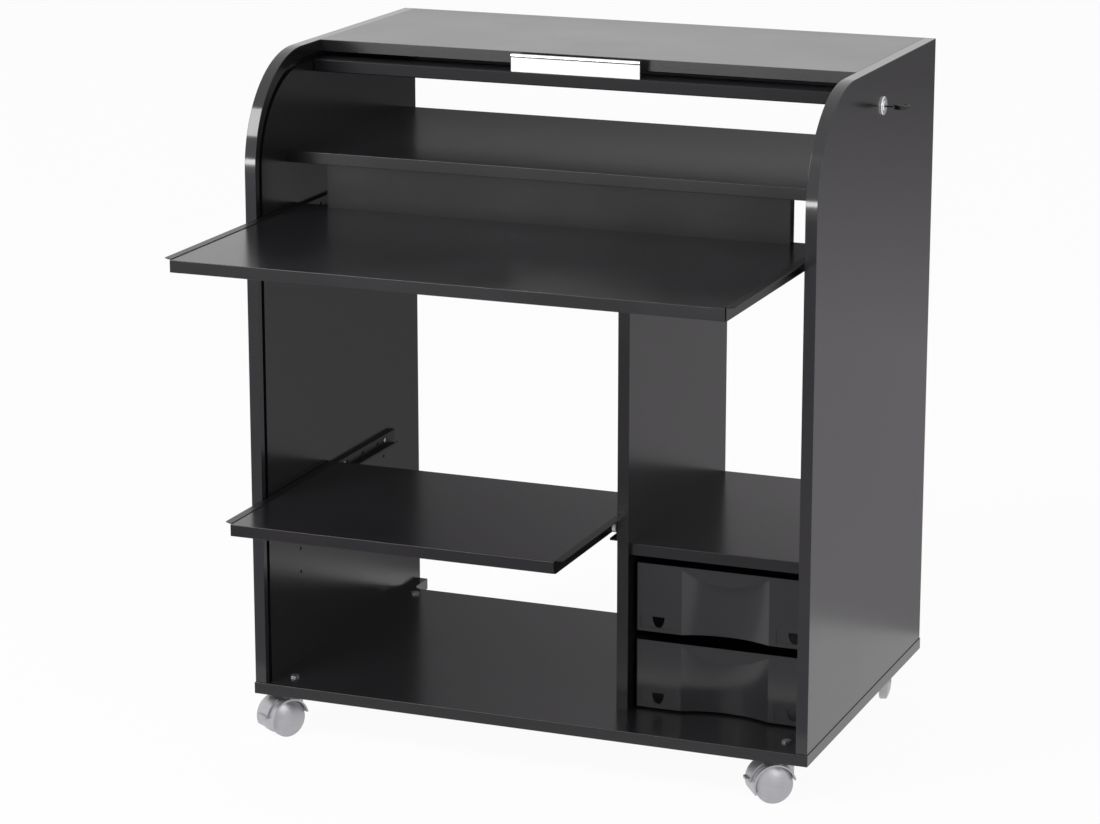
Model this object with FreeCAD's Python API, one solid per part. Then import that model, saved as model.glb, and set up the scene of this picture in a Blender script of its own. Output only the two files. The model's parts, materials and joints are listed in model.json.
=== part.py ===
import FreeCAD, Part
import math
import os

V = FreeCAD.Vector

# Driving dimensions in millimetres
# Desk frame: x from the left side's outer face, y from the sides' front edge to the back,
# z from the underside of the base.
WIDTH = 800.0
DEPTH = 529.0
HEIGHT = 883.0
BOARD = 16.0
BAND = 1.0
EDGE_ROUND = 0.6
ARC_R = 150.0
BASE_LIP_FRONT = 2.0
BASE_LIP_SIDE = 1.0
INNER_BACK = 477.0

TOP_FRONT = 207.5
UPPER_SHELF_FRONT = 95.5
UPPER_SHELF_TOP = 747.5
DIVIDER_X = 504.5
DIVIDER_FRONT = 77.5
DIVIDER_TOP = 640.0
BAY_SHELF_FRONT = 86.0
BAY_SHELF_TOP = 250.0
CABLE_CUT_LEFT = 28.0
CABLE_CUT_CORNER = 14.0
BACK_STEP = 2.0

# Fastenings, and the gaps that holes leave
RUN_GAP = 0.05
SLIDE_GAP = 0.3
PAST = 1.0
SCREW_R = 2.5
SCREW_LENGTH = 50.0
SCREW_SINK = 0.3
SCREW_SOCKET_R = 1.5
SCREW_SOCKET = 3.0
SCREW_Y = (110.0, 265.0, 420.0)
SLIDE_SCREW_R = 1.6
SLIDE_SCREW_LENGTH = 12.0
SLIDE_SCREW_HEAD_R = 3.2
SLIDE_SCREW_HEAD = 1.4
WORKTOP_SCREW_Y = (60.0, 240.0, 420.0)
PRINTER_SCREW_Y = (112.0, 260.0, 400.0)
CROSS_LENGTH = 4.0
CROSS_WIDTH = 1.0
CROSS_DEPTH = 0.4
CAM_R = 7.5
CAM_DEPTH = 12.0
CAM_INSET = 34.0
CAM_SLOT_LENGTH = 10.0
CAM_SLOT_WIDTH = 1.6
CAM_SLOT_DEPTH = 2.5
TOP_CAM_Y = (250.0, 480.0)
SHELF_CAM_Y = (140.0, 440.0)
PIN_HOLE_R = 2.5
PIN_HOLE_DEPTH = 10.0
PIN_HOLES = ((117.0, 178.0), (117.0, 144.0), (401.0, 240.0))

# Shutter groove in the inner faces of the sides
GROOVE_FRONT = 10.5
GROOVE_WIDTH = 8.5
GROOVE_DEPTH = 8.0
GROOVE_CENTRE_Z = 727.0
GROOVE_REAR_STOP = 30.0

# Pull-out boards, drawn as far out as in the photo
SIDE_GAP = 12.5
WORKTOP_FRONT = -273.5
WORKTOP_BACK = 124.0
WORKTOP_TOP = 670.0
UPSTAND_INSET = 41.5
UPSTAND_REBATE = 5.0
UPSTAND_TOP = 725.0
PRINTER_FRONT = -122.0
PRINTER_BACK = 218.0
PRINTER_TOP = 279.3
WORKTOP_SLIDE = (36.0, 436.0)
PRINTER_SLIDE = (78.0, 428.0)
WORKTOP_PUSH_IN = 310.0
PRINTER_PUSH_IN = 200.0

# Roller slides of folded sheet
SHEET = 1.2
CHANNEL_TOP_DROP = 4.0
CHANNEL_HEIGHT = 21.5
CHANNEL_FLOOR = 10.5
CHANNEL_LIP = 7.0
CHANNEL_RETURN = 3.0
CHANNEL_TAIL = 10.0
CHANNEL_TAIL_R = 9.0
CHANNEL_SLOTS = (0.25, 0.4, 0.55, 0.7, 0.85, 0.93)
CHANNEL_SLOT_LENGTH = 10.0
CHANNEL_SLOT_WIDTH = 4.0
EAR_HEIGHT = 6.0
MEMBER_FLANGE = 11.3
MEMBER_LIP = 12.0
MEMBER_SETBACK = 5.0
MEMBER_SINK = 0.4
MEMBER_NOSE = 12.0
ROLLER_INNER = 3.5
ROLLER_OUTER = 9.0
ROLLER_CROWN = 0.8
FRONT_ROLLER_R = 8.0
REAR_ROLLER_R = 9.0
ROLLER_FROM_END = 10.0
ROLLER_PIN_R = 2.5
PIN_PROUD = 0.4

# Plastic drawers
DRAWER_FRONT = 95.0
DRAWER_BACK = 440.0
DRAWER_SIDE_GAP = 5.5
DRAWER_BODY_INSET = 7.0
DRAWER_WALL = 2.2
DRAWER_HEIGHT = 95.0
LOWER_DRAWER_Z = 18.9
UPPER_DRAWER_Z = 126.7
DRAWER_OPEN = 250.0
SCOOP_WIDTH = 123.0
SCOOP_DEPTH = 14.0
SCOOP_DROP = 17.0
SCOOP_TOP = 4.0
RIM = 2.5
DRAWER_CORNER = 2.0
TRAY_SET_BACK = 5.0
RUNNER_HEIGHT = 8.0
RUNNER_GAP = 1.0
MARK_LEFT = 6.0
MARK_LOW = 5.5
MARK_HEIGHT = 17.5
MARK_LENGTH = 48.0
MARK_LINE = 1.4
MARK_DEEP = 1.0
MARK_SPACING = 192.0
WINDOW_MIDDLE = 32.0
WINDOW_HALF = 8.7
WINDOW_TOP = 21.4
WINDOW_HEIGHT = 15.4

# Shutter: leading rail, handle and slats
RAIL_FRONT = 185.0
RAIL_BACK = 230.0
RAIL_BOTTOM = 842.0
RAIL_TOP = 859.0
RAIL_CLOSED_BOTTOM = 680.0
RAIL_ROUND = 1.5
SHUTTER_END_GAP = 1.5
SLAT_PITCH = 35.0
SLAT_WIDTH = 30.0
SLAT_THICK = 5.0
SLAT_BEVEL = 0.5
SLAT_Z = 844.0
SLAT_COUNT = 5
TAIL_COUNT = 3
SHUTTER_R = 127.0
HANDLE_LENGTH = 184.0
HANDLE_HEIGHT = 24.0
HANDLE_FROM_EDGE = 2.0
HANDLE_PLATE = 2.2
HANDLE_FOOT = 14.0
HANDLE_FOOT_THICK = 1.6
HANDLE_BEAD_R = 2.6

# Lock in the right side
LOCK_Y = 279.0
LOCK_Z = 829.0
LOCK_BARREL_R = 9.0
LOCK_PLUG_R = 6.5
LOCK_ROSE_R = 12.5
LOCK_ROSE = 2.5
LOCK_ROSE_ROUND = 1.2
LOCK_REACH_IN = 2.0
PLUG_PROUD = 0.8
CAM_PLATE = 2.0
CAM_PLATE_HALF = 7.5
CAM_PLATE_DOWN = 26.0
CAM_PLATE_UP = 8.0
CAM_PLATE_CORNER = 4.0
KEY_TIP = 37.0
KEY_HEAD = 24.0
KEY_HEAD_HALF = 9.0
KEY_HEAD_THICK = 6.0
KEY_HEAD_ROUND = 1.6
KEY_EYE_R = 2.6
KEY_EYE_FROM_TIP = 6.0
KEY_BLADE_HALF = 4.0
KEY_BLADE_THICK = 2.0
KEYWAY_GAP = 0.3

# Casters
CASTER_HEIGHT = 63.0
CASTER_FRONT_Y = 40.0
CASTER_REAR_Y = 453.0
CASTER_SIDE_X = 41.0
CASTER_TRAIL = 21.0
WHEEL_R = 26.0
WHEEL_INNER = 6.0
WHEEL_OUTER = 21.0
HOOD_R = 29.5
HOOD_HALF = 21.2
HOOD_WELL_R = 27.2
HOOD_WEB = 5.5
HOOD_HUB_R = 13.0
BOSS_R = 10.5
BOSS_FOOT = 6.0
COLLAR_R = 13.0
COLLAR_TOP = -3.0
COLLAR_HEIGHT = 5.0
AXLE_R = 3.0
AXLE_SHORT = 1.5
BRAKE_HALF = 9.0
BRAKE_THICK = 2.4
BRAKE_GAP = 0.4
BRAKE_FROM = 8.0
BRAKE_TO = 66.0
BRAKE_TIP = 6.5
BRAKE_TIP_HALF = 1.6
BRAKE_TIP_LIFT = 3.2
BRAKE_TIP_CORNER = 3.0
STEM_R = 4.0
STEM_HOLE_GAP = 0.1
STEM_DROP = 25.0
FLANGE_R = 17.0
FLANGE_THICK = 2.5
NUT_HEIGHT = 2.4
NUT_CORNER_R = 6.5
CASTER_TURN = {"front_left": 238.0, "front_right": 215.0, "rear_left": 70.0, "rear_right": 110.0}

# Derived places
INNER_LEFT = BOARD
INNER_RIGHT = WIDTH - BOARD
BAY_LEFT = DIVIDER_X + BOARD
BAY_MID = (BAY_LEFT + INNER_RIGHT) / 2
WORKTOP_LEFT = INNER_LEFT + SIDE_GAP
WORKTOP_RIGHT = INNER_RIGHT - SIDE_GAP
PRINTER_LEFT = INNER_LEFT + SIDE_GAP
PRINTER_RIGHT = DIVIDER_X - SIDE_GAP
UPSTAND_LEFT = WORKTOP_LEFT + UPSTAND_INSET
UPSTAND_RIGHT = WORKTOP_RIGHT - UPSTAND_INSET
UPSTAND_FRONT = WORKTOP_BACK - BOARD
ARC_Z = HEIGHT - ARC_R
AXLE_Z = WHEEL_R - CASTER_HEIGHT
CASTER_PLACES = {
    "front_left": (CASTER_SIDE_X, CASTER_FRONT_Y),
    "front_right": (WIDTH - CASTER_SIDE_X, CASTER_FRONT_Y),
    "rear_left": (CASTER_SIDE_X, CASTER_REAR_Y),
    "rear_right": (WIDTH - CASTER_SIDE_X, CASTER_REAR_Y),
}

# The row's origin is the middle of the whole outline, on the floor
LEFT_TURN = math.radians(CASTER_TURN["front_left"])
HOOD_REACH = (CASTER_TRAIL + HOOD_R) * math.cos(LEFT_TURN)
HOOD_LEFT = CASTER_SIDE_X + HOOD_REACH - HOOD_HALF * abs(math.sin(LEFT_TURN))
X_MID = (HOOD_LEFT + WIDTH + KEY_TIP) / 2
Y_MID = (WORKTOP_FRONT + DEPTH) / 2
SHIFT = V(-X_MID, -Y_MID, CASTER_HEIGHT)


def box(x0, x1, y0, y1, z0, z1):
    return Part.makeBox(x1 - x0, y1 - y0, z1 - z0, V(x0, y0, z0))


def bar(radius, start, end):
    axis = end - start
    return Part.makeCylinder(radius, axis.Length, start, axis)


def cross_bar(radius, x0, x1, y, z):
    return bar(radius, V(x0, y, z), V(x1, y, z))


def upright_bar(radius, x, y, z0, z1):
    return bar(radius, V(x, y, z0), V(x, y, z1))


def yz(y, z):
    return V(0, y, z)


def polygon_yz(points):
    corners = [yz(*p) for p in points]
    return Part.Face(Part.makePolygon(corners + corners[:1]))


def arc_yz(start, centre, radius, end):
    bend = math.radians(135)
    middle = yz(centre[0] + radius * math.cos(bend), centre[1] + radius * math.sin(bend))
    return Part.Arc(start, middle, end).toShape()


def group(solids):
    return Part.makeCompound(solids)


def soften(shape, edges, radius):
    return shape.makeFillet(radius, edges)


def edges_along(shape, axis, test):
    found = []
    for edge in shape.Edges:
        a = edge.Vertexes[0].Point
        b = edge.Vertexes[-1].Point
        span = b - a
        if abs(span.Length - abs(span.dot(axis))) < 1e-6 and test((a + b) * 0.5):
            found.append(edge)
    return found


def rounded_front(board, front):
    edges = edges_along(board, V(1, 0, 0), lambda p: p.y < front + PAST)
    return soften(board, edges, EDGE_ROUND)


def rounded_face_front(board, front):
    edges = edges_along(board, V(0, 0, 1), lambda p: p.y < front + PAST)
    edges += edges_along(board, V(1, 0, 0), lambda p: p.y < front + PAST)
    return soften(board, edges, EDGE_ROUND)


# Carcass boards
def side_outline(inset):
    front = inset
    back = DEPTH - inset
    top = HEIGHT - inset
    start = yz(front, ARC_Z)
    crown = yz(ARC_R, top)
    arc = arc_yz(start, (ARC_R, ARC_Z), ARC_R - inset, crown)
    corners = [crown, yz(back, top), yz(back, BOARD), yz(front, BOARD), start]
    lines = [Part.makeLine(a, b) for a, b in zip(corners, corners[1:])]
    return Part.Face(Part.Wire([arc] + lines))


def groove_face():
    centre = (ARC_R, GROOVE_CENTRE_Z)
    outer = ARC_R - GROOVE_FRONT
    inner = outer - GROOVE_WIDTH
    rear = DEPTH - GROOVE_REAR_STOP
    near = [yz(ARC_R - r, GROOVE_CENTRE_Z) for r in (outer, inner)]
    crown = [yz(ARC_R, GROOVE_CENTRE_Z + r) for r in (outer, inner)]
    foot = [yz(ARC_R - r, BOARD - PAST) for r in (outer, inner)]
    stop = [yz(rear, GROOVE_CENTRE_Z + r) for r in (outer, inner)]
    edges = [
        Part.makeLine(foot[0], near[0]),
        arc_yz(near[0], centre, outer, crown[0]),
        Part.makeLine(crown[0], stop[0]),
        Part.makeLine(stop[0], stop[1]),
        Part.makeLine(stop[1], crown[1]),
        arc_yz(crown[1], centre, inner, near[1]),
        Part.makeLine(near[1], foot[1]),
        Part.makeLine(foot[1], foot[0]),
    ]
    return Part.Face(Part.Wire(Part.__sortEdges__(edges)))


def base_screw_places():
    for x in (BOARD / 2, DIVIDER_X + BOARD / 2, WIDTH - BOARD / 2):
        for y in SCREW_Y:
            yield x, y


def base_screw_holes():
    return [upright_bar(SCREW_R + RUN_GAP, x, y, -PAST, SCREW_LENGTH + PAST) for x, y in base_screw_places()]


def slide_screw_places():
    for y in WORKTOP_SCREW_Y:
        yield INNER_LEFT, -1, y, WORKTOP_TOP
        yield INNER_RIGHT, 1, y, WORKTOP_TOP
    for y in PRINTER_SCREW_Y:
        yield INNER_LEFT, -1, y, PRINTER_TOP
        yield DIVIDER_X, 1, y, PRINTER_TOP


def slide_screw_z(top):
    return top - CHANNEL_TOP_DROP - CHANNEL_HEIGHT / 2


def slide_screw_holes():
    holes = []
    for x, into, y, top in slide_screw_places():
        end = x + into * (SLIDE_SCREW_LENGTH + PAST / 2)
        holes.append(cross_bar(SLIDE_SCREW_R + RUN_GAP, x - into * 2 * SHEET, end, y, slide_screw_z(top)))
    return holes


def spare_holes():
    start = INNER_LEFT - PIN_HOLE_DEPTH
    return [cross_bar(PIN_HOLE_R, start, INNER_LEFT + PAST, y, z) for y, z in PIN_HOLES]


def side_panel(left):
    x = 0.0 if left else INNER_RIGHT
    panel = side_outline(BAND).extrude(V(BOARD, 0, 0)).translated(V(x, 0, 0))
    groove_x = BOARD - GROOVE_DEPTH if left else INNER_RIGHT
    panel = panel.cut(groove_face().extrude(V(GROOVE_DEPTH, 0, 0)).translated(V(groove_x, 0, 0)))
    cuts = base_screw_holes() + slide_screw_holes()
    if left:
        cuts += spare_holes()
    else:
        cuts.append(lock_bar(LOCK_BARREL_R + RUN_GAP, INNER_RIGHT - PAST, WIDTH + PAST))
    return panel.cut(group(cuts))


def on_outline(edge):
    near = 1e-6
    if edge.BoundBox.XLength > near:
        return False
    p = edge.valueAt((edge.FirstParameter + edge.LastParameter) / 2)
    if p.y < near or p.y > DEPTH - near or p.z > HEIGHT - near:
        return True
    return p.y < ARC_R and p.z > ARC_Z and math.hypot(p.y - ARC_R, p.z - ARC_Z) > ARC_R - near


def edge_band(left):
    x = 0.0 if left else INNER_RIGHT
    ring = side_outline(0.0).cut(side_outline(BAND))
    band = ring.extrude(V(BOARD, 0, 0))
    band = soften(band, [edge for edge in band.Edges if on_outline(edge)], EDGE_ROUND)
    return band.translated(V(x, 0, 0))


def base_panel():
    panel = box(-BASE_LIP_SIDE, WIDTH + BASE_LIP_SIDE, -BASE_LIP_FRONT, DEPTH, 0, BOARD)
    ends = edges_along(panel, V(0, 1, 0), lambda p: True)
    front = edges_along(panel, V(1, 0, 0), lambda p: p.y < 0)
    front += edges_along(panel, V(0, 0, 1), lambda p: p.y < 0)
    panel = soften(panel, ends + front, EDGE_ROUND)
    notch = box(CABLE_CUT_LEFT, DIVIDER_X - CABLE_CUT_CORNER, INNER_BACK, DEPTH + BOARD, -PAST, BOARD + PAST)
    corners = edges_along(notch, V(0, 0, 1), lambda p: p.y < DEPTH)
    panel = panel.cut(soften(notch, corners, CABLE_CUT_CORNER))
    hole_r = STEM_R + STEM_HOLE_GAP
    stems = [upright_bar(hole_r, x, y, -PAST, BOARD + PAST) for x, y in CASTER_PLACES.values()]
    return panel.cut(group(base_screw_holes() + stems))


def cam_places():
    full_width = (INNER_LEFT + CAM_INSET, INNER_RIGHT - CAM_INSET)
    for x in full_width:
        for y in TOP_CAM_Y:
            yield "top_panel", x, y, HEIGHT - BOARD
        for y in SHELF_CAM_Y:
            yield "upper_shelf", x, y, UPPER_SHELF_TOP - BOARD
    for x in (BAY_LEFT + CAM_INSET, INNER_RIGHT - CAM_INSET):
        for y in SHELF_CAM_Y:
            yield "drawer_bay_shelf", x, y, BAY_SHELF_TOP - BOARD


def cam_pockets(board):
    pockets = []
    for name, x, y, z in cam_places():
        if name == board:
            pockets.append(upright_bar(CAM_R + RUN_GAP, x, y, z - PAST, z + CAM_DEPTH + PAST / 2))
    return group(pockets)


def cam(x, y, z):
    disc = upright_bar(CAM_R, x, y, z, z + CAM_DEPTH)
    long = CAM_SLOT_LENGTH / 2
    half = CAM_SLOT_WIDTH / 2
    slot = box(x - long, x + long, y - half, y + half, z - PAST, z + CAM_SLOT_DEPTH)
    cross = box(x - half, x + half, y - long, y + long, z - PAST, z + CAM_SLOT_DEPTH)
    return disc.cut(slot.fuse(cross))


def top_panel():
    panel = box(INNER_LEFT, INNER_RIGHT, TOP_FRONT, DEPTH, HEIGHT - BOARD, HEIGHT)
    return rounded_front(panel, TOP_FRONT).cut(cam_pockets("top_panel"))


def upper_shelf():
    low = UPPER_SHELF_TOP - BOARD
    shelf = box(INNER_LEFT, INNER_RIGHT, UPPER_SHELF_FRONT, INNER_BACK, low, UPPER_SHELF_TOP)
    return rounded_front(shelf, UPPER_SHELF_FRONT).cut(cam_pockets("upper_shelf"))


def centre_divider():
    divider = box(DIVIDER_X, BAY_LEFT, DIVIDER_FRONT, INNER_BACK - BACK_STEP, BOARD, DIVIDER_TOP)
    uprights = edges_along(divider, V(0, 0, 1), lambda p: p.y < DIVIDER_FRONT + PAST)
    return soften(divider, uprights, EDGE_ROUND).cut(group(base_screw_holes() + slide_screw_holes()))


def drawer_bay_shelf():
    low = BAY_SHELF_TOP - BOARD
    shelf = box(BAY_LEFT, INNER_RIGHT, BAY_SHELF_FRONT, INNER_BACK - BACK_STEP, low, BAY_SHELF_TOP)
    return rounded_front(shelf, BAY_SHELF_FRONT).cut(cam_pockets("drawer_bay_shelf"))


def base_screws():
    screws = []
    for x, y in base_screw_places():
        shank = upright_bar(SCREW_R, x, y, SCREW_SINK, SCREW_LENGTH)
        screws.append(shank.cut(upright_bar(SCREW_SOCKET_R, x, y, 0, SCREW_SOCKET)))
    return group(screws)


def cams():
    return group([cam(x, y, z) for name, x, y, z in cam_places()])


# Roller slides
def standing_off(face, inward, near, far, y0, y1, z0, z1):
    ends = sorted((face + inward * near, face + inward * far))
    return box(ends[0], ends[1], y0, y1, z0, z1)


def channel(face, inward, span, top):
    high = top - CHANNEL_TOP_DROP
    low = high - CHANNEL_HEIGHT
    y0, y1 = span
    profile = [
        (0, low), (CHANNEL_FLOOR, low), (CHANNEL_FLOOR, low + CHANNEL_RETURN),
        (CHANNEL_FLOOR - SHEET, low + CHANNEL_RETURN), (CHANNEL_FLOOR - SHEET, low + SHEET),
        (SHEET, low + SHEET), (SHEET, high - SHEET),
        (CHANNEL_LIP, high - SHEET), (CHANNEL_LIP, high), (0, high),
    ]
    corners = [V(face + inward * u, y0, z) for u, z in profile]
    body = Part.Face(Part.makePolygon(corners + corners[:1])).extrude(V(0, y1 - y0, 0))
    roller_y = y0 + ROLLER_FROM_END
    axis_z = front_roller_z(top)
    lip_end = roller_y + ROLLER_FROM_END + EAR_HEIGHT
    lip = standing_off(face, inward, SHEET, CHANNEL_FLOOR, y0 - PAST, lip_end, high - SHEET, high + PAST)
    body = body.cut(lip)
    middle = (high + low) / 2
    cuts = []
    for share in CHANNEL_SLOTS:
        y = y0 + share * (y1 - y0)
        half = CHANNEL_SLOT_LENGTH / 2
        rise = CHANNEL_SLOT_WIDTH / 2
        slot = standing_off(face, inward, -PAST, SHEET + PAST, y - half, y + half,
                            middle - rise, middle + rise)
        cuts.append(slot)
    for screw_face, into, y, sheet_top in slide_screw_places():
        if screw_face == face and sheet_top == top:
            cuts.append(cross_bar(SLIDE_SCREW_R + RUN_GAP, face - 2 * SHEET, face + 2 * SHEET, y, middle))
    body = body.cut(group(cuts))
    tail = standing_off(face, inward, 0, SHEET, y1 - PAST, y1 + CHANNEL_TAIL, low, high)
    tail = soften(tail, edges_along(tail, V(1, 0, 0), lambda p: p.y > y1), CHANNEL_TAIL_R)
    ear = standing_off(face, inward, 0, SHEET, y0, roller_y + ROLLER_FROM_END, axis_z, axis_z + EAR_HEIGHT)
    pin_end = face + inward * (ROLLER_OUTER + PIN_PROUD)
    pin = cross_bar(ROLLER_PIN_R, face + inward * SHEET / 2, pin_end, roller_y, axis_z)
    return body.fuse([tail, ear, pin]).removeSplitter()


def front_roller_z(top):
    return top - MEMBER_SINK - SLIDE_GAP - FRONT_ROLLER_R


def rear_roller_z(top):
    return top - CHANNEL_TOP_DROP - CHANNEL_HEIGHT / 2


def member(edge, outward, front, back, top):
    low = top - BOARD
    y0 = front + MEMBER_SETBACK
    flange = top - MEMBER_SINK
    profile = [
        (-MEMBER_LIP, low - SHEET), (SHEET, low - SHEET), (SHEET, flange), (MEMBER_FLANGE, flange),
        (MEMBER_FLANGE, flange + SHEET), (0, flange + SHEET), (0, low), (-MEMBER_LIP, low),
    ]
    corners = [V(edge + outward * u, y0, z) for u, z in profile]
    body = Part.Face(Part.makePolygon(corners + corners[:1])).extrude(V(0, back - y0, 0))
    far = 2 * MEMBER_FLANGE
    slant = ((2 * SHEET, -PAST), (far, -PAST), (far, MEMBER_NOSE))
    nose = [V(edge + outward * u, y0 + y, flange - PAST) for u, y in slant]
    nose_cut = Part.Face(Part.makePolygon(nose + nose[:1])).extrude(V(0, 0, SHEET + 2 * PAST))
    pin_end = edge + outward * (SIDE_GAP - ROLLER_INNER + PIN_PROUD / 2)
    pin_y = back - ROLLER_FROM_END
    pin = cross_bar(ROLLER_PIN_R, edge + outward * SHEET / 2, pin_end, pin_y, rear_roller_z(top))
    return body.cut(nose_cut).fuse(pin).removeSplitter()


def roller(radius, x0, x1, y, z):
    wheel = cross_bar(radius, x0, x1, y, z)
    crown = [edge for edge in wheel.Edges if len(edge.Vertexes) == 1]
    wheel = soften(wheel, crown, ROLLER_CROWN)
    return wheel.cut(cross_bar(ROLLER_PIN_R + RUN_GAP, x0 - PAST, x1 + PAST, y, z))


def roller_pair(radius, left_face, right_face, y, z):
    left = roller(radius, left_face + ROLLER_INNER, left_face + ROLLER_OUTER, y, z)
    right = roller(radius, right_face - ROLLER_OUTER, right_face - ROLLER_INNER, y, z)
    return group([left, right])


def slide_screws():
    screws = []
    for x, into, y, top in slide_screw_places():
        z = slide_screw_z(top)
        face = x - into * SHEET
        crown = face - into * SLIDE_SCREW_HEAD
        head = cross_bar(SLIDE_SCREW_HEAD_R, face, crown, y, z)
        shank = cross_bar(SLIDE_SCREW_R, face, x + into * SLIDE_SCREW_LENGTH, y, z)
        long = CROSS_LENGTH / 2
        half = CROSS_WIDTH / 2
        slot = box(-CROSS_DEPTH, CROSS_DEPTH, -long, long, -half, half)
        cross = slot.fuse(box(-CROSS_DEPTH, CROSS_DEPTH, -half, half, -long, long))
        screws.append(head.fuse(shank).cut(cross.translated(V(crown, y, z))))
    return group(screws)


# Pull-out boards
def worktop():
    low = WORKTOP_TOP - BOARD
    board = box(WORKTOP_LEFT, WORKTOP_RIGHT, WORKTOP_FRONT, WORKTOP_BACK, low, WORKTOP_TOP)
    board = rounded_face_front(board, WORKTOP_FRONT)
    rebate = box(UPSTAND_LEFT, UPSTAND_RIGHT, UPSTAND_FRONT, WORKTOP_BACK + PAST,
                 WORKTOP_TOP - UPSTAND_REBATE, WORKTOP_TOP + PAST)
    return board.cut(rebate)


def worktop_upstand():
    low = WORKTOP_TOP - UPSTAND_REBATE
    board = box(UPSTAND_LEFT, UPSTAND_RIGHT, UPSTAND_FRONT, WORKTOP_BACK, low, UPSTAND_TOP)
    return soften(board, edges_along(board, V(1, 0, 0), lambda p: p.z > WORKTOP_TOP), EDGE_ROUND)


def printer_shelf():
    low = PRINTER_TOP - BOARD
    board = box(PRINTER_LEFT, PRINTER_RIGHT, PRINTER_FRONT, PRINTER_BACK, low, PRINTER_TOP)
    return rounded_face_front(board, PRINTER_FRONT)


# Drawers
def bow_radius(chord, rise):
    return ((chord / 2) ** 2 + rise ** 2) / (2 * rise)


def scoop(z0, z1, grow):
    bow = bow_radius(SCOOP_WIDTH, SCOOP_DEPTH)
    hollow = upright_bar(bow + grow, BAY_MID, DRAWER_FRONT + SCOOP_DEPTH - bow, z0 - PAST, z1 + PAST)
    smile = bow_radius(SCOOP_WIDTH, SCOOP_DROP)
    smile_z = z1 - SCOOP_TOP - SCOOP_DROP + smile
    lip = bar(smile - grow, V(BAY_MID, DRAWER_FRONT - 2 * bow, smile_z), V(BAY_MID, DRAWER_BACK, smile_z))
    return hollow.cut(lip)


def drawer(z0):
    z1 = z0 + DRAWER_HEIGHT
    left = BAY_LEFT + DRAWER_SIDE_GAP
    right = INNER_RIGHT - DRAWER_SIDE_GAP
    body_left = left + DRAWER_BODY_INSET
    body_right = right - DRAWER_BODY_INSET
    tray_front = DRAWER_FRONT + TRAY_SET_BACK
    front_thick = SCOOP_DEPTH + 2 * DRAWER_WALL
    front = box(left, right, DRAWER_FRONT, DRAWER_FRONT + front_thick, z0, z1)
    corners = edges_along(front, V(0, 0, 1), lambda p: p.y < tray_front)
    front = soften(front, corners, DRAWER_CORNER)
    tray = box(body_left, body_right, tray_front, DRAWER_BACK, z0, z1)
    rim = box(left, right, tray_front, DRAWER_BACK, z1 - RIM, z1)
    shell = front.fuse([tray, rim]).removeSplitter()
    inside = box(body_left + DRAWER_WALL, body_right - DRAWER_WALL, DRAWER_FRONT + DRAWER_WALL,
                 DRAWER_BACK - DRAWER_WALL, z0 + DRAWER_WALL, z1 + PAST)
    inside = inside.cut(scoop(z0, z1, DRAWER_WALL))
    shell = shell.cut(inside).cut(scoop(z0, z1, 0))
    return shell.cut(group(cheek_marks(left, z0) + cheek_marks(left + MARK_SPACING, z0)))


def cheek_marks(left, z0):
    y0 = DRAWER_FRONT - PAST
    y1 = DRAWER_FRONT + MARK_DEEP
    x = left + MARK_LEFT
    low = z0 + MARK_LOW
    upright = box(x, x + MARK_LINE, y0, y1, low, low + MARK_HEIGHT)
    foot = box(x, x + MARK_LENGTH, y0, y1, low, low + MARK_LINE)
    sill = V(left + WINDOW_MIDDLE, y0, z0 + WINDOW_TOP)
    tip = sill - V(0, 0, WINDOW_HEIGHT)
    side = sill + V(WINDOW_HALF, 0, 0)
    outline = Part.Wire([Part.Ellipse(tip, side, sill).toShape()])
    through = V(0, DRAWER_WALL + 2 * PAST, 0)
    below = box(sill.x - WIDTH, sill.x + WIDTH, y0 - PAST, DRAWER_BACK, z0, sill.z)
    window = Part.Face(outline).extrude(through).common(below)
    return [upright.fuse(foot), window]


def drawer_runners():
    runners = []
    reach = DRAWER_SIDE_GAP + DRAWER_BODY_INSET - RUNNER_GAP
    y0 = DRAWER_FRONT + SCOOP_DEPTH + 3 * DRAWER_WALL
    for z0 in (LOWER_DRAWER_Z, UPPER_DRAWER_Z):
        high = z0 + DRAWER_HEIGHT - RIM - SLIDE_GAP
        low = high - RUNNER_HEIGHT
        runners.append(box(BAY_LEFT, BAY_LEFT + reach, y0, DRAWER_BACK, low, high))
        runners.append(box(INNER_RIGHT - reach, INNER_RIGHT, y0, DRAWER_BACK, low, high))
    return group(runners)


# Shutter
def shutter_board(y0, y1, z0, z1, round_r):
    left = INNER_LEFT + SHUTTER_END_GAP
    right = INNER_RIGHT - SHUTTER_END_GAP
    solid = box(left, right, y0, y1, z0, z1)
    return soften(solid, edges_along(solid, V(1, 0, 0), lambda p: True), round_r)


def shutter_rail():
    return shutter_board(RAIL_FRONT, RAIL_BACK, RAIL_BOTTOM, RAIL_TOP, RAIL_ROUND)


def shutter_handle():
    foot = RAIL_TOP
    front = RAIL_FRONT + HANDLE_FROM_EDGE
    behind = front + HANDLE_PLATE
    bead_z = foot + HANDLE_HEIGHT - HANDLE_BEAD_R
    points = [
        (front, foot), (front + HANDLE_FOOT, foot), (front + HANDLE_FOOT, foot + HANDLE_FOOT_THICK),
        (behind, foot + HANDLE_FOOT_THICK), (behind, bead_z), (front, bead_z),
    ]
    profile = polygon_yz(points).extrude(V(HANDLE_LENGTH, 0, 0))
    bead = cross_bar(HANDLE_BEAD_R, 0, HANDLE_LENGTH, (front + behind) / 2, bead_z)
    return profile.fuse(bead).removeSplitter().translated(V((WIDTH - HANDLE_LENGTH) / 2, 0, 0))


def slat_rest_y(index):
    return RAIL_BACK + SLAT_PITCH * index + SLAT_PITCH - SLAT_WIDTH / 2


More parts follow.
